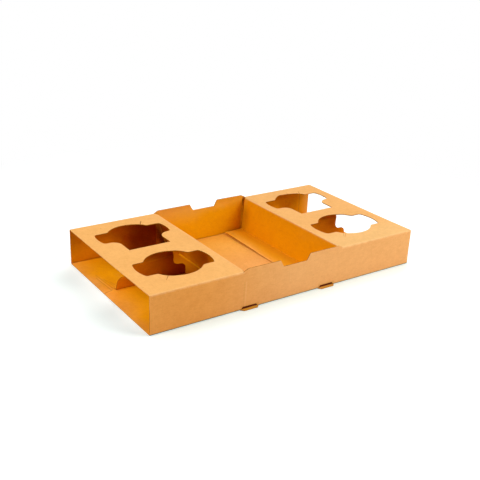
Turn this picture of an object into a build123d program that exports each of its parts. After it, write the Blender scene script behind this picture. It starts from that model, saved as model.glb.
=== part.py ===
from build123d import *
import os
from math import cos, hypot, pi, radians, sin

# Cup carrier folded from one sheet of kraft board: a flat sleeve, open at both ends,
# with a bay of two cup holes at each end and an open compartment between the bays.
# Sizes are in millimetres. X runs along the sleeve, +Y points to its back wall and
# +Z points up. The origin is on the ground, under the middle of the sleeve.

# Board
board = 1.0  # thickness
fold = 1.5  # outer radius of each fold
seat = 0.1  # how far the end of a flap is pressed into the floor

# Sleeve
length = 400.0  # from one open end to the other
depth = 221.0  # over the front and back walls
height = 49.5  # from the ground to the upper face of the cup panels
bay_length = 126.5  # from an open end to the fold of that bay's inner wall

# Middle of the two long walls: a rim above the cup panels, with a notch in it
rim_rise = 3.3  # above the cup panels
rim_overhang = 3.0  # of the rim's foot past the fold of the inner wall
rim_slope_run = 6.5  # along X, of the slope at each end of the rim
notch_drop = 5.6  # of the notch's floor, below the cup panels
notch_floor = 36.0  # width of the notch's floor
notch_slope_run = 5.0  # along X, of each side of the notch
notch_shift_front = 0.5  # from the middle of the sleeve
notch_shift_back = 4.0
notch_corner = 1.5  # radius of the rim's and the notch's upper corners

# Lean of the back wall's foot, deepest near the middle and none in the outer bays
bow_depth = 9.0
bow_span = 270.0
bow_centre = -5.0
bow_leg = 30.0  # of floor board that follows the lean
bow_steps = 6  # lengths between the cross-sections of the leaning wall

# Inner walls: the middle of the top is folded down, and its ends lie on the floor
flap_gap = 4.3  # from a flap's edge to the inside of a long wall
left_lean = 14.5  # of the left wall's foot along X, from its top fold
right_lean = -5.0  # the same, of the right wall
left_flange = 15.0  # length of the end that lies on the floor
right_flange = 33.0
left_trim = 2.8  # that the wall's lower corners are cut back from its upper ones
right_trim = 1.2
flange_taper = 5.0  # that the free corners of the long flange are cut back
flange_rest = 8.0  # of each flange that lies flat before it lifts
left_lift = 0.8  # of the flange's free edge
right_lift = 2.2

# Cup holes: a round hole with a tab opening on either side
hole_radius = 36.0
left_hole_inset = 66.0  # from an open end to the middle of that bay's holes
right_hole_inset = 64.0
front_hole_y = 64.5  # from the front wall to the middle of a front hole
back_hole_y = 164.5  # from the front wall to the middle of a back hole
tab_reach = 49.0  # from the middle of a hole to the end of its tab opening
front_tab_side = 18.75  # from the middle of a front hole to the sides of its tab openings
front_tab_extra = 3.0  # more than that, for the near side of the right opening
front_tab_corner = 3.0
back_tab_width = 31.5
back_tab_shift = 6.5  # of the tab openings towards the back, from the hole's middle
back_tab_corner = 4.0
tab_root = 3.0  # radius where a tab opening meets the round hole
tab_sweep = 8.0  # the same, at the near side of a front hole's right opening
throat_width = 57.0  # of the back hole, down to the divider's fold
left_throat_corner = 11.0
right_throat_corner = 13.5
front_slit = 12.0
back_slit = 9.0
slit_width = 0.6
slit_place = 51.0  # round a hole from +X; the front slit is on the other side of its hole
back_slit_turn = 15.0  # of the back slit, from straight out of its hole

# Dividers: the board cut out of each back hole, folded down to the floor
divider_fold_y = 124.5  # from the front wall to the divider's fold
left_knee = (9.5, 16.5)  # how far the divider's bend is in front of its fold, and below it
left_foot = 4.0  # how far the divider's foot is in front of its fold
right_knee = (12.0, 9.5)
right_foot = 8.5
knee_bend = 6.0  # radius of that bend
divider_corner = 8.0  # of a divider's tabs
divider_root = 9.5  # radius above a divider's tabs

# Foot of the front wall: windows, whose board stays flat in the floor as a tongue
window_base = 26.5
window_top = 19.5
window_height = 3.8
left_window_x = -66.0
right_window_x = 53.3

# Slits in the floor's ends
end_slit_length = 13.4
end_slit_y = 120.0  # from the front wall
end_slit_angle = 17.0

front_face = -depth / 2
back_face = depth / 2
half_length = length / 2
bay_edge = half_length - bay_length
rim_top = height + rim_rise
flap_end = back_face - board - flap_gap
left_hole_x = left_hole_inset - half_length
right_hole_x = half_length - right_hole_inset
divider_y = front_face + divider_fold_y


def section(sketch, x0, x1):
    """A shape drawn in Y and Z, run along X from x0 to x1."""
    return extrude(Plane.YZ.offset(x0) * sketch, x1 - x0, dir=(1, 0, 0))


def elevation(sketch, y0, y1):
    """A shape drawn in X and Z, run along Y from y0 to y1."""
    return extrude(Plane.XZ.offset(-y0) * sketch, y1 - y0, dir=(0, 1, 0))


def plan(sketch, z0, z1):
    """A shape drawn in X and Y, run up from z0 to z1."""
    return extrude(Plane.XY.offset(z0) * sketch, z1 - z0, dir=(0, 0, 1))


def block(x0, x1, y0, y1, z0, z1):
    return Pos((x0 + x1) / 2, (y0 + y1) / 2, (z0 + z1) / 2) * Box(x1 - x0, y1 - y0, z1 - z0)


def strip(points, radii):
    """The section of a folded strip of board, along the middle of its thickness."""
    path = FilletPolyline(*points, radius=radii)
    return make_face(offset(path, board / 2, kind=Kind.INTERSECTION, side=Side.BOTH, closed=True))


def sleeve():
    outside = RectangleRounded(depth, height, fold)
    inside = RectangleRounded(depth - 2 * board, height - 2 * board, fold - board)
    return section(Pos(0, height / 2) * (outside - inside), -half_length, half_length)


def bow(x):
    """How far the foot of the back wall stands in from its top, at one place."""
    share = (x - bow_centre) / bow_span + 0.5
    return bow_depth * sin(pi * share) ** 2


def wall_foot(x):
    """Cross-section of the back wall and the floor board beside it."""
    out = back_face - bow(x)
    top = height - fold
    end = back_face - bow_leg
    inner = fold - board
    middle = (out - fold, fold)
    low = inner * cos(radians(45))
    wide = fold * cos(radians(45))
    lines = [
        Line((back_face - board, top), (out - board, fold)),
        ThreePointArc((out - board, fold), (middle[0] + low, middle[1] - low), (out - fold, board)),
        Polyline((out - fold, board), (end, board), (end, 0), (out - fold, 0)),
        ThreePointArc((out - fold, 0), (middle[0] + wide, middle[1] - wide), (out, fold)),
        Polyline((out, fold), (back_face, top), (back_face - board, top)),
    ]
    return Plane.YZ.offset(x) * make_face(lines)


def leaning_wall():
    first = bow_centre - bow_span / 2
    return loft([wall_foot(first + bow_span * k / bow_steps) for k in range(bow_steps + 1)])


def rim(y0, y1, shift):
    """The raised middle of a long wall, and the notch to cut through that wall."""
    foot = bay_edge + rim_overhang
    crest = foot - rim_slope_run
    low = height - fold
    raised = Polygon(
        (-foot, low), (foot, low), (foot, height),
        (crest, rim_top), (-crest, rim_top), (-foot, height), align=None,
    )
    ends = raised.vertices().filter_by(lambda v: v.Y > rim_top - 0.01)
    base = notch_floor / 2
    floor = height - notch_drop
    slope = notch_slope_run / (rim_top - floor)
    over = rim_top + board
    reach = base + slope * (over - floor)
    notch = Polygon(
        (shift - base, floor), (shift + base, floor), (shift + reach, over), (shift - reach, over), align=None
    )
    corners = notch.vertices().filter_by(lambda v: v.Y < floor + 0.01)
    crest_wall = elevation(fillet(ends, notch_corner), y0, y1)
    return crest_wall, elevation(fillet(corners, notch_corner), y0 - bow_depth, y1)


def inner_wall(side, lean, flange, lift, trim):
    """One flap of the top, folded down at the bay's edge and out along the floor."""
    top = height - board / 2
    rest = board * 1.5 - seat
    bend = fold - board / 2
    edge = side * (bay_edge + board / 2)
    foot = edge + lean
    path = [
        (edge + side * 6 * fold, top),
        (edge, top),
        (foot, rest),
        (foot - side * flange_rest, rest),
        (foot - side * flange, rest + lift),
    ]
    shape = elevation(strip(path, [bend, bend, flange]), -flap_end, flap_end)
    low_end = flap_end - trim
    cut = flange_taper * flange / right_flange
    beyond = Polygon((flap_end, height), (low_end, 0), (depth, 0), (depth, height), align=None)
    slope = section(beyond, -half_length, half_length)
    free = foot - side * flange
    corner = Polygon(
        (foot, low_end), (free, low_end - cut), (free - side * flange, low_end - cut),
        (free - side * flange, depth), (foot, depth), align=None,
    )
    off = slope + plan(corner, 0, height / 3)
    return shape - off - mirror(off, Plane.XZ)


def tab_opening(side, far, near, middle, corner):
    """The opening on one side of a cup hole, with an end that follows a circle."""
    band = Pos(side * tab_reach, (far + near) / 2) * Rectangle(2 * tab_reach, far - near)
    shape = band & Pos(0, middle) * Circle(tab_reach)
    return fillet(shape.vertices().filter_by(lambda v: abs(v.X) > hole_radius), corner)


def front_hole():
    hole = Circle(hole_radius)
    hole += tab_opening(-1, front_tab_side, -front_tab_side, 0, front_tab_corner)
    hole += tab_opening(1, front_tab_side, -front_tab_side - front_tab_extra, 0, front_tab_corner)
    roots = hole.vertices().filter_by(lambda v: abs(v.X) < hole_radius)
    sweep = roots.filter_by(lambda v: v.X > 0 and v.Y < 0)
    hole = fillet(sweep, tab_sweep)
    roots = hole.vertices().filter_by(lambda v: abs(v.X) < hole_radius and (v.X < 0 or v.Y > 0))
    return fillet(roots, tab_root)


def back_outline(fold_y, left_root, right_root, corner):
    """The back hole's outline, from the hole's middle, down to the divider's fold."""
    low = back_tab_shift - back_tab_width / 2
    above = Pos(0, hole_radius) * Rectangle(3 * hole_radius, 2 * hole_radius)
    hole = Circle(hole_radius) & above
    hole += Pos(0, (fold_y + back_tab_shift) / 2) * Rectangle(throat_width, back_tab_shift - fold_y)
    for side in (-1, 1):
        hole += tab_opening(side, low + back_tab_width, low, back_tab_shift, corner)
    for side, root in ((-1, left_root), (1, right_root)):
        lowest = hole.vertices().filter_by(lambda v: abs(v.Y - low) < 0.01)
        hole = fillet(lowest.filter_by(lambda v: 0 < side * v.X < hole_radius), root)
    roots = hole.vertices().filter_by(lambda v: v.Y > back_tab_shift and abs(v.X) < hole_radius)
    return fillet(roots, tab_root)


def slit(place, turn, reach):
    """A cut outward from a cup hole's edge, which it crosses a little."""
    start = 2 * slit_width
    cut = Pos((reach - start) / 2, 0) * Rectangle(reach + start, slit_width)
    return Rot(0, 0, place) * Pos(hole_radius, 0) * Rot(0, 0, turn) * cut


def bay_cuts(x):
    """Everything that is cut out of one bay's cup panel, about the middle of its holes."""
    front = front_hole() + slit(slit_place + 180, 0, front_slit)
    fold_y = divider_y - fold - (front_face + back_hole_y)
    back = back_outline(fold_y, left_throat_corner, right_throat_corner, back_tab_corner)
    back += slit(slit_place, back_slit_turn, back_slit)
    cuts = Pos(x, front_face + front_hole_y) * front
    cuts += Pos(x, front_face + back_hole_y) * back
    return plan(cuts, height - 2 * board, rim_top)


def divider(x, knee, foot_forward):
    """The board from a back hole: down to the floor, and back along it as a foot."""
    back_y = front_face + back_hole_y
    top = height - board / 2
    rest = board * 1.5 - seat
    bend = fold - board / 2
    hinge = divider_y - board / 2
    knee_at = (hinge - knee[0], top - knee[1])
    foot = hinge - foot_forward
    upper = hypot(*knee)
    lower = hypot(foot - knee_at[0], knee_at[1] - rest)
    tip = back_y + hole_radius - divider_y - upper - lower
    path = [(hinge - 4 * fold, top), (hinge, top), knee_at, (foot, rest), (foot + tip, rest)]
    folded = section(strip(path, [bend, knee_bend, bend]), x - tab_reach, x + tab_reach)
    outline = back_outline(divider_y - height - back_y, divider_root, divider_root, divider_corner)
    upright = Pos(x, top + divider_y - back_y) * mirror(outline, Plane.XZ)
    flat = Pos(x, foot + tip - hole_radius) * outline
    panel = folded & elevation(upright, knee_at[0] - 2 * knee_bend, divider_y + board)
    sole = folded & plan(flat, board / 2, board * 2.5)
    return panel + sole


def window(x):
    """A window at the foot of the front wall, and the tongue left flat in the floor."""
    base = window_base / 2
    crest = window_top / 2
    opening = Polygon(
        (x - base, 0), (x + base, 0), (x + crest, window_height), (x - crest, window_height), align=None
    )
    upper = opening.vertices().filter_by(lambda v: v.Y > window_height / 2)
    cut = elevation(fillet(upper, board), front_face, front_face + 3 * fold)
    root = front_face + 4 * fold
    tip = front_face - window_height
    tongue = Polygon(
        (x - base, root), (x + base, root), (x + base, front_face),
        (x + crest, tip), (x - crest, tip), (x - base, front_face), align=None,
    )
    return cut, plan(tongue, 0, board)


def cup_carrier():
    carrier = sleeve()
    first = bow_centre - bow_span / 2
    carrier -= block(first, first + bow_span, back_face - bow_leg, back_face, 0, height - fold)
    carrier += leaning_wall()
    over_middle = bay_edge + fold
    carrier -= block(
        -over_middle, over_middle, front_face + fold, back_face - fold, height - 2 * board, height
    )
    carrier -= block(-bay_edge, bay_edge, front_face, back_face, height - fold, height)
    for y0, y1, shift in (
        (front_face, front_face + board, notch_shift_front),
        (back_face - board, back_face, notch_shift_back),
    ):
        raised, notch = rim(y0, y1, shift)
        carrier += raised
        carrier -= notch
    for x in (left_window_x, right_window_x):
        cut, tongue = window(x)
        carrier -= cut
        carrier += tongue
    for x in (left_hole_x, right_hole_x):
        carrier -= bay_cuts(x)
    for side in (-1, 1):
        end = Rot(0, 0, -side * end_slit_angle) * Box(end_slit_length, slit_width, 2 * board)
        carrier -= Pos(side * (half_length - end_slit_length / 2), front_face + end_slit_y, board / 2) * end
    carrier += divider(left_hole_x, left_knee, left_foot)
    carrier += divider(right_hole_x, right_knee, right_foot)
    carrier += inner_wall(-1, left_lean, left_flange, left_lift, left_trim)
    carrier += inner_wall(1, right_lean, right_flange, right_lift, right_trim)
    return carrier


os.makedirs("parts", exist_ok=True)
export_step(cup_carrier(), "parts/cup_carrier.step")
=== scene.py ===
import math

import bmesh
import bpy
from mathutils import Matrix, Quaternion, Vector, noise
from mathutils.bvhtree import BVHTree


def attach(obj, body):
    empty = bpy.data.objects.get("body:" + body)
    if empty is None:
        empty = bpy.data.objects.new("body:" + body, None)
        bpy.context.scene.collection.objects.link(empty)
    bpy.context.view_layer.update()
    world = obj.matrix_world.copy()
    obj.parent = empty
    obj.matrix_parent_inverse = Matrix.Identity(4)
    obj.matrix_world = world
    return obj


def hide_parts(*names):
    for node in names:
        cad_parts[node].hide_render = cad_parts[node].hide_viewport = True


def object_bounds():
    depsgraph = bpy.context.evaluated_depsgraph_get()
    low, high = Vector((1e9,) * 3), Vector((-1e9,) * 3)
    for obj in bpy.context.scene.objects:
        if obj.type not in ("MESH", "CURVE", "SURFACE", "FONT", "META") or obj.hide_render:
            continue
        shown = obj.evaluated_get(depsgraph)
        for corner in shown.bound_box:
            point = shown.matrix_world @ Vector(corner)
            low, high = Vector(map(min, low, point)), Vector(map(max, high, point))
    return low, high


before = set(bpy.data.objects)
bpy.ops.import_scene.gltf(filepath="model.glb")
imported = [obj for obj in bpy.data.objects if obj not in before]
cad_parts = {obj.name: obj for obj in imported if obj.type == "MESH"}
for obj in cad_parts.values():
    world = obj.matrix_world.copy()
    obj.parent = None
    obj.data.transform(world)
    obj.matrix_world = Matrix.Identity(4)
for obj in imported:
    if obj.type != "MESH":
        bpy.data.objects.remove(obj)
cad_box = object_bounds()

MM = 0.001
HALF_LENGTH = 200.0 * MM
HALF_DEPTH = 110.5 * MM
BAY_EDGE = 73.5 * MM  # from the middle to the fold of each inner wall

# Camera, with its angles in degrees and its lens in millimetres
CAMERA_PLACE = (-0.54084, -0.75846, 0.42011)
CAMERA_AZIMUTH = -35.178
CAMERA_ELEVATION = 22.494
CAMERA_ROLL = 2.501
CAMERA_LENS = 56.527

# The board's mesh
CELL = 6.0 * MM
CELL_SHIFT = 0.37  # share of a cell that keeps the cutting planes off the solid's own faces
CELL_REACH = (HALF_LENGTH, HALF_DEPTH + 4 * MM, 54 * MM)
WAVE_SEED = 11  # of the board's soft waves
SHARP_FOLD = math.radians(50)
SHEETS_THICK = 2.4 * MM  # a face with more board than this behind it is a cut edge
OUTLOOK = 0.45  # how far away other board still shuts a place in
OUTLOOK_RAYS = 20

# Places where a cup panel is lifted or pressed: x and y, spread and height in millimetres
LIPS = (
    ((-108.0, -13.5), 7.0, 0.5), ((-159.0, -78.0), 9.0, -0.6), ((-108.5, 88.5), 8.0, 0.6),
    ((160.0, -13.5), 7.0, 0.4), ((108.0, -79.0), 9.0, -0.5), ((161.0, 88.0), 8.0, 0.5),
    ((121.0, 90.0), 9.0, 1.4),
)


def srgb(r, g, b):
    def channel(v):
        v /= 255
        return v / 12.92 if v <= 0.04045 else ((v + 0.055) / 1.055) ** 2.4

    return channel(r), channel(g), channel(b), 1.0


def smooth(low, high, value):
    """A soft step from 0 at low to 1 at high, which may be the smaller of the two."""
    t = min(max((value - low) / (high - low), 0.0), 1.0)
    return t * t * (3 - 2 * t)


def make_camera():
    data = bpy.data.cameras.new("camera")
    data.sensor_width = 36.0
    data.lens = CAMERA_LENS
    data.clip_start = 0.01
    data.clip_end = 20.0
    camera = bpy.data.objects.new("camera", data)
    bpy.context.scene.collection.objects.link(camera)
    azimuth, elevation = math.radians(CAMERA_AZIMUTH), math.radians(CAMERA_ELEVATION)
    back = Vector((
        math.sin(azimuth) * math.cos(elevation),
        -math.cos(azimuth) * math.cos(elevation),
        math.sin(elevation),
    ))
    roll = Quaternion((0, 0, 1), math.radians(CAMERA_ROLL))
    camera.rotation_mode = "QUATERNION"
    camera.rotation_quaternion = (-back).to_track_quat("-Z", "Y") @ roll
    camera.location = CAMERA_PLACE
    bpy.context.scene.camera = camera


def on_cell_plane(edge):
    a, b = edge.verts[0].co, edge.verts[1].co
    for axis in range(3):
        if abs(a[axis] - b[axis]) < 2e-7:
            share = a[axis] / CELL - CELL_SHIFT
            if abs(share - round(share)) < 1e-4:
                return True
    return False


def cut_into_cells(bm):
    """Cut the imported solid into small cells, and join the triangles that each cell holds."""
    for axis, reach in enumerate(CELL_REACH):
        steps = int(reach / CELL) + 1
        first = 0 if axis == 2 else -steps
        for k in range(first, steps + 1):
            normal, point = [0.0, 0.0, 0.0], [0.0, 0.0, 0.0]
            normal[axis] = 1.0
            point[axis] = (k + CELL_SHIFT) * CELL
            everything = bm.verts[:] + bm.edges[:] + bm.faces[:]
            bmesh.ops.bisect_plane(bm, geom=everything, dist=1e-7, plane_co=point, plane_no=normal)
    spare = [
        e for e in bm.edges
        if len(e.link_faces) == 2 and e.calc_face_angle(1.0) < 0.002 and not on_cell_plane(e)
    ]
    bmesh.ops.dissolve_edges(bm, edges=spare, use_verts=False, use_face_split=False)


def lift(p, centre, spread, height):
    """A soft rise of the cup panel about one point."""
    away = (Vector((p.x, p.y)) - Vector(centre)).length / spread
    return height * math.exp(-away * away)


def bend(p):
    """How far a point of the flat, new carrier has moved in handling."""
    out = noise.noise_vector(p * 9.0 + Vector((3.1, 7.7, 1.3))) * (0.30 * MM)
    out += noise.noise_vector(p * 27.0 + Vector((11.0, 2.0, 5.0))) * (0.10 * MM)

    # The cup panels sag between the long walls, and are lifted or pressed at their cuts
    panel = smooth(46 * MM, 48 * MM, p.z) * smooth(BAY_EDGE, BAY_EDGE + 14 * MM, abs(p.x))
    inboard = 1 - smooth(HALF_DEPTH - 12 * MM, HALF_DEPTH, abs(p.y))
    out.z -= 0.5 * MM * panel * inboard * math.cos(p.y / HALF_DEPTH * math.pi / 2)
    for centre, spread, height in LIPS:
        place = (centre[0] * MM, centre[1] * MM)
        out.z += panel * inboard * lift(p, place, spread * MM, height * MM)

    # The open ends wave more from front to back, but keep their length; the floor lies still
    end = smooth(HALF_LENGTH - 25 * MM, HALF_LENGTH, abs(p.x))
    out.y *= 1 + 0.8 * end
    held = smooth(0.5 * MM, 6 * MM, p.z)
    out *= 0.15 + 0.85 * held
    out.x *= 1 - smooth(HALF_LENGTH - 6 * MM, HALF_LENGTH, abs(p.x))
    if p.z < 3 * MM:
        out.z = 0.0

    # The long flange's free edge is pressed down towards the front
    if 1.05 * MM < p.z < 6 * MM and abs(p.y) < 107 * MM:
        flange = smooth(61 * MM, 38 * MM, p.x) * smooth(30 * MM, 36 * MM, p.x)
        out.z -= 2.0 * MM * flange * smooth(70 * MM, -20 * MM, p.y)
    return out


def hemisphere(count):
    """Directions about +Z, as many towards the pole as a matt surface gathers light from."""
    out = []
    for k in range(count):
        share = (k + 0.5) / count
        turn = k * math.pi * (3 - math.sqrt(5))
        radius = math.sqrt(share)
        out.append(Vector((radius * math.cos(turn), radius * math.sin(turn), math.sqrt(1 - share))))
    return out


def mark_shelter(bm, tree):
    """For each face corner, the share of its outlook that other board shuts in."""
    rays = hemisphere(OUTLOOK_RAYS)
    raw = []
    for face in bm.faces:
        turn = face.normal.to_track_quat("Z", "Y")
        start = face.calc_center_median() + face.normal * 1e-4
        shut = 0
        for ray in rays:
            hit = tree.ray_cast(start, turn @ ray, OUTLOOK)
            if hit[0] is not None:
                shut += 1
        raw.append(shut / len(rays))
    layer = bm.loops.layers.float.new("shelter")
    for face in bm.faces:
        for loop in face.loops:
            near = [f.index for f in loop.vert.link_faces if f.normal.dot(face.normal) > 0.8]
            loop[layer] = sum(raw[k] for k in near) / len(near)


def mark_cut_edges(bm, tree, layer):
    """Mark each face with much board behind it, apart from flaps that lie on the floor."""
    for face in bm.faces:
        centre = face.calc_center_median()
        normal = face.normal
        hit = tree.ray_cast(centre - normal * 1e-5, -normal)
        thick = hit[3] if hit[0] is not None else 1.0
        lying = abs(normal.z) > 0.95 and centre.z < 5 * MM
        face[layer] = 1.0 if thick > SHEETS_THICK and not lying else 0.0


def make_board(node):
    noise.seed_set(WAVE_SEED)
    bm = bmesh.new()
    bm.from_mesh(node.data)
    bmesh.ops.remove_doubles(bm, verts=bm.verts, dist=1e-6)
    cut_into_cells(bm)
    bm.normal_update()
    tree = BVHTree.FromBMesh(bm)
    cut_edge = bm.faces.layers.float.new("cut_edge")
    bm.faces.index_update()
    mark_shelter(bm, tree)
    mark_cut_edges(bm, tree, cut_edge)
    for face in bm.faces:
        face.smooth = True
    for edge in bm.edges:
        edge.smooth = len(edge.link_faces) == 2 and edge.calc_face_angle(3.0) < SHARP_FOLD
    low, high = cad_box
    for vert in bm.verts:
        moved = vert.co + bend(vert.co)
        vert.co = Vector((min(max(moved[i], low[i]), high[i]) for i in range(3)))
    mesh = bpy.data.meshes.new("carrier_board")
    bm.to_mesh(mesh)
    bm.free()
    board = bpy.data.objects.new("carrier_board", mesh)
    bpy.context.scene.collection.objects.link(board)
    weighted = board.modifiers.new("weighted", "WEIGHTED_NORMAL")
    weighted.keep_sharp = True
    weighted.weight = 80
    return board


class Nodes:
    """A material, with short names for the node types that it uses."""

    def __init__(self, name):
        self.material = bpy.data.materials.new(name)
        self.material.use_nodes = True
        self.tree = self.material.node_tree
        self.tree.nodes.clear()
        self.place = self.add("ShaderNodeTexCoord").outputs["Object"]
        self.x, self.y, self.z = self.add("ShaderNodeSeparateXYZ", {0: self.place}).outputs

    def fill(self, node, key, value):
        if isinstance(value, bpy.types.NodeSocket):
            self.tree.links.new(value, node.inputs[key])
        else:
            node.inputs[key].default_value = value

    def add(self, kind, inputs=None, **settings):
        node = self.tree.nodes.new(kind)
        for key, value in settings.items():
            setattr(node, key, value)
        for key, value in (inputs or {}).items():
            self.fill(node, key, value)
        return node

    def math(self, operation, a, b=0.0):
        return self.add("ShaderNodeMath", {0: a, 1: b}, operation=operation).outputs[0]

    def product(self, first, *others):
        for other in others:
            first = self.math("MULTIPLY", first, other)
        return first

    def clamp(self, value):
        return self.math("MINIMUM", self.math("MAXIMUM", value, 0.0), 1.0)

    def ramp(self, value, low, high, to_low=0.0, to_high=1.0):
        inputs = {0: value, 1: low, 2: high, 3: to_low, 4: to_high}
        return self.add("ShaderNodeMapRange", inputs, interpolation_type="SMOOTHSTEP").outputs[0]

    def fade(self, value, low, high, to_low=0.0, to_high=1.0):
        """A ramp between two places given in millimetres."""
        return self.ramp(value, low * MM, high * MM, to_low, to_high)

    def vector(self, operation, a, b=None, scale=None):
        inputs = {0: a}
        if b is not None:
            inputs[1] = b
        if scale is not None:
            inputs["Scale"] = scale
        node = self.add("ShaderNodeVectorMath", inputs, operation=operation)
        return node.outputs["Value" if operation in ("DOT_PRODUCT", "LENGTH") else "Vector"]

    def noise(self, stretch, scale, detail=3.0, rough=0.55, place=None):
        moved = {"Vector": place or self.place, "Scale": stretch}
        moved = self.add("ShaderNodeMapping", moved).outputs[0]
        inputs = {"Vector": moved, "Scale": scale, "Detail": detail, "Roughness": rough}
        return self.add("ShaderNodeTexNoise", inputs).outputs["Fac"]

    def mix(self, factor, a, b, blend="MIX"):
        node = self.add("ShaderNodeMix", data_type="RGBA", blend_type=blend)
        for key, value in ((0, factor), (6, a), (7, b)):
            self.fill(node, key, value)
        return node.outputs[2]

    def stroke(self, a, b, width, strength):
        """A soft mark along the line from a to b, given in millimetres."""
        start = Vector(a) * MM
        along = Vector(b) * MM - start
        from_start = self.vector("SUBTRACT", self.place, tuple(start))
        share = self.vector("DOT_PRODUCT", from_start, tuple(along / along.length_squared))
        nearest = self.vector("SCALE", tuple(along), scale=self.clamp(share))
        away = self.vector("LENGTH", self.vector("SUBTRACT", from_start, nearest))
        return self.fade(away, width, 0.0, 0.0, strength)

    def strokes(self, marks):
        out = self.stroke(*marks[0])
        for mark in marks[1:]:
            out = self.math("MAXIMUM", out, self.stroke(*mark))
        return out


# Tones of the board, each as the sRGB colours of its darker and its lighter pulp
# painted light: the walls' tones, darker on the left and paler on the right, where light falls from
# the right
WALL_LEFT_SHADED = ((228, 151, 70), (240, 165, 82))
WALL_RIGHT_LIT = ((233, 167, 99), (244, 181, 112))
PANEL_LEFT = ((233, 170, 95), (245, 184, 109))
PANEL_RIGHT = ((229, 169, 100), (240, 181, 112))
PANEL_FRONT_RIGHT = ((229, 177, 111), (241, 189, 123))
# painted bounce light and shade: the sheltered lining, and the deep shade far inside the bays
LINING_BOUNCE_LIT = ((230, 148, 0), (242, 164, 0))
DEEP_SHADE_FLAT = ((205, 112, 0), (220, 128, 0))
DEEP_SHADE_UPRIGHT = ((177, 80, 0), (197, 96, 0))
# painted light on the floor, at the open ends and in patches near the left end
FLOOR_MOUTH_LIT = ((236, 158, 70), (248, 172, 86))
FLOOR_LIT_PATCH = ((246, 160, 66), (255, 174, 82))
FLOOR_FRONT = ((225, 154, 82), (237, 168, 94))
FLOOR_BACK = ((229, 158, 56), (241, 172, 68))
FLANGE = ((243, 158, 0), (251, 170, 2))
# painted light on the long flange's lifted free edge
FLANGE_EDGE_LIT = ((243, 164, 62), (252, 176, 76))
# cut edges: painted dark with shade, and painted lit at the open ends
EDGE_IN_SHADE = ((130, 72, 2), (184, 112, 12))
EDGE_LIT = ((206, 136, 62), (236, 168, 92))

# Loose fibres: turn of their run in radians, scale, and how much paler or darker they are
FIBRES = ((0.5, 420.0, 0.40), (2.2, 380.0, -0.45), (1.3, 300.0, -0.35))

# Marks as start, end, half width and strength, in millimetres
DARK_MARKS = (
    # open slits, folds and curves beside the cup holes
    ((-111.3, 83.5, 49.5), (-108.6, 87.5, 50), 1.0, 0.50),
    ((-108.6, 87.5, 50), (-106.4, 91.0, 49.9), 1.1, 0.75),
    ((-122.0, -9.6, 49.4), (-119.4, 0.0, 49.6), 0.9, 0.30),
    ((110.8, -72.4, 49.2), (104.2, -81.5, 49.1), 1.0, 0.50),
    ((163.5, -12.5, 49.8), (158.0, -19.5, 49.8), 0.9, 0.30),
    ((142.0, 89.5, 49), (143.4, 96.5, 49), 0.8, 0.6),
    ((123.6, 0.0, 49.4), (124.5, -4.6, 49.4), 0.9, 0.36),
    ((124.5, -4.6, 49.4), (125.7, -12.2, 49.4), 0.9, 0.32),
    # specks on the left cup panel
    ((-164.5, 93.0, 49), (-163.6, 93.4, 49), 1.0, 0.7),
    ((-197.0, -88.5, 49), (-196.2, -88.1, 49), 0.9, 0.6),
    # faint upright lines on the front wall, with painted highlights beside them, and on the back
    # wall's inner face
    ((-75.4, -110.5, 4), (-74.6, -110.5, 36), 0.9, 0.16),
    ((-7.5, -110.5, 21), (-8.5, -110.5, 39), 0.9, 0.05),
    ((182.0, 109.5, 3), (182.0, 109.5, 46), 1.2, 0.40),
    # scratches on the left bay's floor
    ((-190.6, 52.0, 1), (-188.4, 12.0, 1), 1.3, 0.30),
    ((-187.4, 60.0, 1), (-184.2, 12.0, 1), 1.4, 0.26),
    ((-183.6, 44.0, 1), (-180.4, 14.0, 1), 1.4, 0.22),
    ((-180.5, 34.0, 1), (-178.0, 22.0, 1), 2.4, 0.20),
)
# painted highlights beside the front wall's upright lines and beside a scratch on the left bay's
# floor
HIGHLIGHT_MARKS = (
    ((-72.6, -110.5, 4), (-71.8, -110.5, 36), 1.0, 0.30),
    ((-5.2, -110.5, 21), (-6.2, -110.5, 39), 0.9, 0.24),
    ((-189.0, 50.0, 1), (-186.6, 14.0, 1), 1.2, 0.12),
)
# Light on the short flange and beside it, seen through the front left cup hole
GLOWS = (
    ((-60.5, 8.0, 1.6), (-60.5, 66.0, 1.6), 2.2, 1.0),
    ((-68.0, 22.0, 1.0), (-68.0, 40.0, 1.0), 22.0, 0.26),
    ((-62.0, 24.0, 8.0), (-62.0, 46.0, 8.0), 9.0, 0.22),
)
CLOSED_SLIT = ((-156.0, -74.5, 49), (-164.5, -83.5, 49), 4.0, 1.0)
# Painted light on the floor near the left open end, in patches where more light falls in
LIT_FLOOR_PATCHES = (
    ((-206.0, -34.0, 1), (-206.0, 0.0, 1), 44.0, 0.60),
    ((-206.0, 90.0, 1), (-206.0, 110.0, 1), 38.0, 0.45),
)
# Painted shade: creases where two faces of board meet and little light gets in, and two faint
# patches on the left bay's floor
SHADED_CREASES = (
    ((73.0, 109.5, 3), (73.0, 109.5, 49), 2.2, 0.62),
    ((73.0, 109.5, 0), (73.0, 109.5, 22), 16.0, 0.20),
    ((73.0, 109.5, -6), (73.0, 109.5, 4), 30.0, 0.10),
    ((80.0, 101.0, 0), (80.0, 101.0, 26), 22.0, 0.50),
    ((-70.5, 107.8, 34), (-64.0, 105.5, 8), 10.0, 0.92),
    ((72.5, 106.0, 2), (69.5, -106.0, 2), 2.2, 0.45),
    ((-57.0, 102.0, 1), (-30.0, 100.6, 1), 2.2, 0.40),
    ((-30.0, 100.6, 1), (20.0, 100.6, 1), 2.2, 0.40),
    ((20.0, 100.6, 1), (66.0, 103.6, 1), 2.2, 0.40),
    ((-200.0, 109.5, 1), (-140.0, 109.5, 1), 2.4, 0.50),
    ((-178.0, 38.0, 1), (-196.0, 36.0, 1), 24.0, 0.10),
    ((-178.0, -80.0, 1), (-196.0, -84.0, 1), 24.0, 0.10),
)
WINDOWS = (-66.0, 53.3)  # where the front wall's windows are along X, in millimetres


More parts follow.
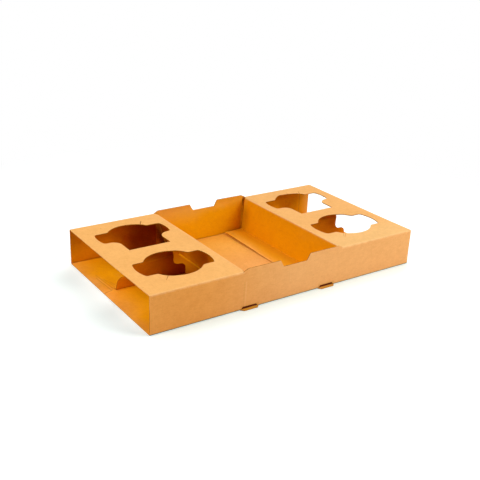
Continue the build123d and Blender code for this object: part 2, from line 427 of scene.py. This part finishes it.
class Kraft(Nodes):
    """The board's material, painted in layers, each over those before it."""

    def __init__(self):
        super().__init__("kraft_board")
        self.out_x = self.math("ABSOLUTE", self.x)
        self.out_y = self.math("ABSOLUTE", self.y)
        normal = self.add("ShaderNodeNewGeometry").outputs["Normal"]
        facing_up = self.add("ShaderNodeSeparateXYZ", {0: normal}).outputs[2]
        self.level = self.ramp(facing_up, 0.30, 0.85)
        self.upright = self.ramp(self.math("ABSOLUTE", facing_up), 0.75, 0.35)
        self.shut = self.add("ShaderNodeAttribute", attribute_name="shelter").outputs["Fac"]
        self.inside = self.ramp(self.shut, 0.12, 0.30)
        self.edge = self.add("ShaderNodeAttribute", attribute_name="cut_edge").outputs["Fac"]
        self.mottle = self.noise((1, 1, 1), 150.0, 5.0, 0.65)
        self.grain = self.noise((0.22, 1, 1), 900.0, 3.0, 0.6)
        self.plies = self.noise((0.15, 0.15, 1), 3200.0, 2.0, 0.6)
        self.tone = self.pulp()
        self.colour = self.outside()
        self.paint_inside()
        self.paint_floor()
        back = self.product(self.upright, self.inside, self.fade(self.y, 96, 98))
        self.paint_back_wall(back)
        self.paint_bays(back)
        self.paint_specks()
        self.paint_fold_wear_and_highlight()
        self.paint_cut_edges()
        self.paint_creases()
        self.paint_windows()
        dark = self.paint_marks()
        self.finish(dark)

    def paint(self, factor, colour, blend="MIX"):
        self.colour = self.mix(factor, self.colour, colour, blend)

    def tones(self, first, second=None, share=None):
        """The pulp's colour in a tone, or between two tones."""
        dark, light = srgb(*first[0]), srgb(*first[1])
        if second is not None:
            dark = self.mix(share, dark, srgb(*second[0]))
            light = self.mix(share, light, srgb(*second[1]))
        return self.mix(self.tone, dark, light)

    def pulp(self):
        """From dark to light: pulp that is never quite even, a grain, and loose fibres."""
        clouds = self.noise((1, 1, 1), 22.0, 2.0)
        cross = self.noise((1, 0.25, 0.6), 700.0, 2.0, 0.6)
        tone = self.ramp(clouds, 0.30, 0.70, -0.12, 0.12)
        for value, reach in ((self.mottle, 0.22), (self.grain, 0.22), (cross, 0.14)):
            tone = self.math("ADD", tone, self.ramp(value, 0.30, 0.70, -reach, reach))
        for turn, scale, amount in FIBRES:
            turned = {"Vector": self.place, "Rotation": (0.4 * turn, 0.6 * turn, turn)}
            turned = self.add("ShaderNodeMapping", turned).outputs[0]
            fibre = self.noise((0.10, 1, 1), scale, 1.0, 0.4, turned)
            tone = self.math("ADD", tone, self.ramp(fibre, 0.66, 0.78, 0.0, amount))
        return self.clamp(self.math("ADD", tone, 0.5))

    def outside(self):
        """Paler on top than on the walls, and palest on the top towards its front right; the walls
        grow paler towards the right, painted light falling from the right.
        """
        wall = self.tones(WALL_LEFT_SHADED, WALL_RIGHT_LIT, self.fade(self.x, -150, 10))
        panel = self.tones(PANEL_LEFT, PANEL_RIGHT, self.fade(self.x, -200, 200))
        front_right = self.product(self.fade(self.x, -20, 100), self.fade(self.y, -45, -90))
        panel = self.mix(front_right, panel, self.tones(PANEL_FRONT_RIGHT))
        return self.mix(self.level, wall, panel)

    def paint_inside(self):
        """Painted bounce light and shade: the sheltered inside is painted warmer, as light bounced
        between its faces makes it, and painted shade is deepest far inside the bays.
        """
        self.paint(self.ramp(self.shut, 0.10, 0.48), self.tones(LINING_BOUNCE_LIT))
        # painted shade, deepest far inside the bays
        deep_shade = self.tones(DEEP_SHADE_FLAT, DEEP_SHADE_UPRIGHT, self.upright)
        self.paint(self.ramp(self.shut, 0.66, 0.98), deep_shade)

    def paint_floor(self):
        """Painted light: paler where light comes in at the open ends and in patches near the left
        end; the middle floor has its own tones from front to back; the long flange is painted lit,
        palest at its lifted free edge.
        """
        low_down = self.product(self.level, self.fade(self.z, 5, 2))
        swept = self.ramp(self.noise((0.4, 1, 1), 17.0, 1.0), 0.35, 0.65, -6 * MM, 6 * MM)
        # painted light where it comes in at the open ends
        lit_mouth = self.fade(self.math("ADD", self.out_x, swept), 184, 204, 0.0, 0.42)
        self.paint(self.product(lit_mouth, low_down), self.tones(FLOOR_MOUTH_LIT))
        self.paint(self.product(low_down, self.strokes(LIT_FLOOR_PATCHES)), self.tones(FLOOR_LIT_PATCH))
        middle = self.product(low_down, self.fade(self.out_x, 74, 70))
        duller = self.tones(FLOOR_FRONT, FLOOR_BACK, self.fade(self.y, -40, 104))
        self.paint(self.product(middle, self.fade(self.x, -58, -53, 0.0, 0.9)), duller)
        flange = self.product(self.fade(self.x, 34, 40), self.fade(self.z, 1.1, 1.5), middle)
        lit = self.tones(FLANGE, FLANGE_EDGE_LIT, self.fade(self.x, 52, 37, 0.0, 0.55))
        self.paint(self.product(flange, 0.92), lit)

    def paint_back_wall(self, back):
        """Between the bays, the back wall's inner face has painted light, paler towards its rim
        where more light falls in from above.
        """
        between = self.fade(self.out_x, 75, 73)
        above = self.math("SUBTRACT", self.z, self.fade(self.x, -18, 18, 0.0, 12 * MM))
        # painted light, paler towards the rim
        rim = self.product(self.fade(above, 20, 55, 0.0, 0.46), between)
        self.paint(self.product(back, rim), srgb(238, 172, 98))
        self.paint(self.product(back, between), (0.98, 1.05, 1.0, 1.0), "MULTIPLY")

    def paint_bays(self, back):
        """Upright faces inside the bays lie in their own shade."""
        bay = self.fade(self.out_x, 74.5, 76)
        bay_back = self.product(back, bay)
        from_fold = self.math("ABSOLUTE", self.math("SUBTRACT", self.y, 6 * MM))
        divider = self.product(self.upright, bay, self.fade(from_fold, 12, 9))
        inner = self.fade(self.x, -126, -104)
        right_side = self.math("GREATER_THAN", self.x, 0.0)
        from_end = self.fade(self.x, -168, -142)
        left_back = self.mix(from_end, (0.82, 0.66, 1.0, 1.0), (0.99, 0.82, 1.0, 1.0))
        left_back = self.mix(inner, left_back, (0.68, 0.45, 1.0, 1.0))
        # painted light and shade on the right bay's back wall: lighter near its inner end, darker
        # towards the open end, where lit_end then paints it pale
        to_end = self.fade(self.x, 136, 180)
        right_back = self.mix(to_end, (1.28, 1.46, 1.0, 1.0), (0.84, 0.84, 1.0, 1.0))
        self.paint(bay_back, self.mix(right_side, left_back, right_back), "MULTIPLY")
        left = self.mix(inner, (0.88, 0.70, 1.0, 1.0), (0.73, 0.48, 1.0, 1.0))
        self.paint(divider, self.mix(right_side, left, (0.92, 0.78, 1.0, 1.0)), "MULTIPLY")
        towards_top = self.fade(self.z, 6, 46)
        in_shade = self.product(self.math("MAXIMUM", divider, bay_back), towards_top)
        self.paint(in_shade, (0.82, 0.80, 1.0, 1.0), "MULTIPLY")
        lit_end = self.product(bay_back, self.fade(self.x, 183, 206, 0.0, 0.45))
        self.paint(lit_end, srgb(240, 170, 100))

    def paint_specks(self):
        """Sparse dark specks in the pulp."""
        inputs = {"Vector": self.place, "Scale": 95.0, "Randomness": 1.0}
        cells = self.add("ShaderNodeTexVoronoi", inputs).outputs
        chance = self.add("ShaderNodeSeparateColor", {0: cells["Color"]}).outputs[0]
        chosen = self.math("GREATER_THAN", chance, 0.90)
        speck = self.product(self.ramp(cells["Distance"], 0.06, 0.02, 0.0, 0.40), chosen)
        self.paint(speck, srgb(134, 82, 36))

    def paint_fold_wear_and_highlight(self):
        """The outer ply is stretched pale along the folds; the pale line also stands in for the
        folds' painted highlight.
        """
        high = self.fade(self.z, 46.6, 48.4)
        low = self.fade(self.z, 2.4, 1.0)
        long_fold = self.product(
            self.fade(self.out_y, 107.6, 109.3), self.fade(self.out_x, 74.0, 77.0), high,
        )
        cross_fold = self.product(
            self.fade(self.out_x, 77.0, 75.0), self.fade(self.out_y, 106.5, 105.5),
            self.product(high, 0.45),
        )
        foot_fold = self.product(self.fade(self.y, -108.5, -109.8), low)
        folds = self.math("MAXIMUM", self.math("MAXIMUM", long_fold, cross_fold), foot_fold)
        # partly wear, partly a painted highlight along the folds
        rubbed_and_highlit = self.ramp(self.noise((1, 1, 1), 240.0, 4.0, 0.7), 0.38, 0.62, 0.10, 0.35)
        self.paint(self.product(folds, rubbed_and_highlit), srgb(255, 208, 150))

    def paint_cut_edges(self):
        """Torn plies, painted dark with the shade that falls on cut edges, and painted lit at the
        open ends' corners.
        """
        ply = self.ramp(self.plies, 0.35, 0.65)
        edge_in_shade = self.mix(ply, srgb(*EDGE_IN_SHADE[0]), srgb(*EDGE_IN_SHADE[1]))
        edge_lit = self.mix(ply, srgb(*EDGE_LIT[0]), srgb(*EDGE_LIT[1]))
        at_end = self.fade(self.out_x, 199.0, 199.6)
        # the open ends' upright edges stay in painted shade
        kept_in_shade = self.product(
            self.fade(self.z, 1.2, 3), self.fade(self.z, 38, 26),
            self.fade(self.y, 100, -100, 0.35, 1.0),
        )
        bright = self.product(at_end, self.math("SUBTRACT", 1.0, kept_in_shade))
        self.paint(self.product(self.edge, 0.90), self.mix(bright, edge_in_shade, edge_lit))

    def paint_creases(self):
        """Painted shade in the inner creases, and a painted contact shadow along the front wall's
        lower edge.
        """
        self.paint(self.product(self.strokes(SHADED_CREASES), self.inside), srgb(112, 38, 0))
        # painted contact shadow along the front wall's lower edge
        foot_shadow = self.product(
            self.fade(self.z, 2.0, 0.7), self.fade(self.y, -108.6, -109.4),
            self.fade(self.y, -110.9, -110.6),
        )
        self.paint(self.product(foot_shadow, 0.85), srgb(92, 60, 26))

    def paint_windows(self):
        """The windows' shade behind the front wall, and their tongues in front of it."""
        slots = [
            self.fade(self.math("ABSOLUTE", self.math("SUBTRACT", self.x, centre * MM)), 13.6, 12.8)
            for centre in WINDOWS
        ]
        slot = self.product(self.math("MAXIMUM", *slots), self.fade(self.z, 6.0, 4.5))
        within = self.product(
            self.fade(self.y, -103.8, -105.6), self.fade(self.y, -110.4, -109.9),
        )
        depth = self.fade(self.y, -110.2, -109.4)
        shade = self.mix(depth, srgb(180, 100, 8), srgb(88, 22, 0))
        self.paint(self.product(slot, within), shade)
        tongue = self.product(slot, self.fade(self.y, -110.2, -110.8))
        self.paint(self.product(tongue, 0.8), srgb(206, 140, 40))

    def paint_marks(self):
        """A slit whose sides have closed up, marks left by handling, painted highlights beside some
        of them, and stray light.
        """
        closed = self.stroke(*CLOSED_SLIT)
        self.paint(self.product(closed, self.edge), srgb(206, 138, 70))
        dark = self.strokes(DARK_MARKS)
        self.paint(dark, srgb(150, 92, 40))
        self.paint(self.strokes(HIGHLIGHT_MARKS), srgb(255, 205, 140))
        self.paint(self.strokes(GLOWS), srgb(255, 196, 12))
        return dark

    def finish(self, dark):
        """Matt board, with relief from its felt side, grain, marks and torn plies."""
        felt = self.noise((1, 1, 1), 520.0, 4.0, 0.7)
        relief = self.math("ADD", self.product(felt, 0.5), self.product(self.grain, 0.5))
        relief = self.math("SUBTRACT", relief, self.product(dark, 1.5))
        relief = self.math("ADD", relief, self.product(self.edge, self.plies, 2.0))
        bump = {"Strength": 0.35, "Distance": 0.00018, "Height": relief}
        shader = self.add("ShaderNodeBsdfPrincipled", {
            "Base Color": self.colour,
            "Roughness": self.ramp(self.mottle, 0.3, 0.7, 0.82, 0.94),
            "Specular IOR Level": 0.06,
            "Normal": self.add("ShaderNodeBump", bump).outputs[0],
        })
        self.add("ShaderNodeOutputMaterial", {"Surface": shader.outputs[0]})


def ground():
    """Pale and shadowed near the carrier, its shadow tinted cool and painted darker in front of the
    front wall, where the glow is weaker; pure white further away for the camera alone.
    """
    n = Nodes("ground")
    diffuse = n.add("ShaderNodeBsdfDiffuse", {"Color": (0.86, 0.86, 0.86, 1.0)})
    # painted shadow: the glow is weaker in front of the front wall
    shadow_in_front = n.product(n.fade(n.y, -90, -114), n.fade(n.x, -205, -165))
    lightened = n.mix(shadow_in_front, (0.205, 0.290, 0.270, 1.0), (0.115, 0.235, 0.210, 1.0))
    glow = n.add("ShaderNodeEmission", {"Color": lightened, "Strength": 1.0})
    white = n.add("ShaderNodeEmission", {"Color": (1, 1, 1, 1), "Strength": 1.0})
    near = n.add("ShaderNodeAddShader", {0: diffuse.outputs[0], 1: glow.outputs[0]})
    away = n.ramp(n.vector("LENGTH", n.place), 0.34, 0.60)
    shown = n.add("ShaderNodeMixShader", {0: away, 1: near.outputs[0], 2: white.outputs[0]})
    by_camera = n.add("ShaderNodeLightPath").outputs["Is Camera Ray"]
    pick = {0: by_camera, 1: diffuse.outputs[0], 2: shown.outputs[0]}
    surface = n.add("ShaderNodeMixShader", pick).outputs[0]
    n.add("ShaderNodeOutputMaterial", {"Surface": surface})
    return n.material


def make_stage():
    bm = bmesh.new()
    bmesh.ops.create_grid(bm, x_segments=8, y_segments=8, size=4.0)
    mesh = bpy.data.meshes.new("ground")
    bm.to_mesh(mesh)
    bm.free()
    floor = bpy.data.objects.new("ground", mesh)
    floor.data.transform(Matrix.Translation((0, 0, -0.0002)))
    floor.data.materials.append(ground())
    bpy.context.scene.collection.objects.link(floor)


# Lamps: name, place, what it is aimed at, width and height in metres, and power
LAMPS = (
    ("key", (0.7, 0.6, 1.4), (0.0, 0.0, 0.0), (1.1, 1.1), 12.5),
    ("right front", (0.8, -0.9, 1.0), (0.05, 0.0, 0.02), (0.8, 0.6), 10.5),
    ("right", (0.85, -0.75, 0.45), (0.15, -0.05, 0.02), (0.7, 0.5), 3.5),
    ("left", (-1.2, -0.1, 0.95), (-0.1, 0.0, 0.02), (0.8, 0.6), 11.5),
    ("back", (-0.6, 1.1, 0.9), (0.0, 0.0, 0.02), (0.8, 0.6), 3.0),
)


def soft_light(name, place, target, size, energy):
    data = bpy.data.lights.new(name, "AREA")
    data.shape = "RECTANGLE"
    data.size, data.size_y = size
    data.energy = energy
    light = bpy.data.objects.new(name, data)
    light.location = place
    light.rotation_mode = "QUATERNION"
    light.rotation_quaternion = (Vector(target) - Vector(place)).to_track_quat("-Z", "Y")
    bpy.context.scene.collection.objects.link(light)


def make_world():
    """Faint warm light from all round, and pure white for the camera alone."""
    world = bpy.data.worlds.new("studio")
    world.use_nodes = True
    tree = world.node_tree
    tree.nodes.clear()
    plain = tree.nodes.new("ShaderNodeBackground")
    plain.inputs["Color"].default_value = (1.0, 0.985, 0.965, 1.0)
    plain.inputs["Strength"].default_value = 0.10
    white = tree.nodes.new("ShaderNodeBackground")
    white.inputs["Color"].default_value = (1, 1, 1, 1)
    white.inputs["Strength"].default_value = 1.0
    path = tree.nodes.new("ShaderNodeLightPath")
    pick = tree.nodes.new("ShaderNodeMixShader")
    out = tree.nodes.new("ShaderNodeOutputWorld")
    tree.links.new(path.outputs["Is Camera Ray"], pick.inputs[0])
    tree.links.new(plain.outputs[0], pick.inputs[1])
    tree.links.new(white.outputs[0], pick.inputs[2])
    tree.links.new(pick.outputs[0], out.inputs[0])
    bpy.context.scene.world = world


make_camera()
bpy.context.scene.view_settings.view_transform = "Standard"

board = make_board(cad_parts["cup_carrier"])
board.data.materials.append(Kraft().material)
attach(board, "root")
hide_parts("cup_carrier")

make_stage()
make_world()
for lamp in LAMPS:
    soft_light(*lamp)
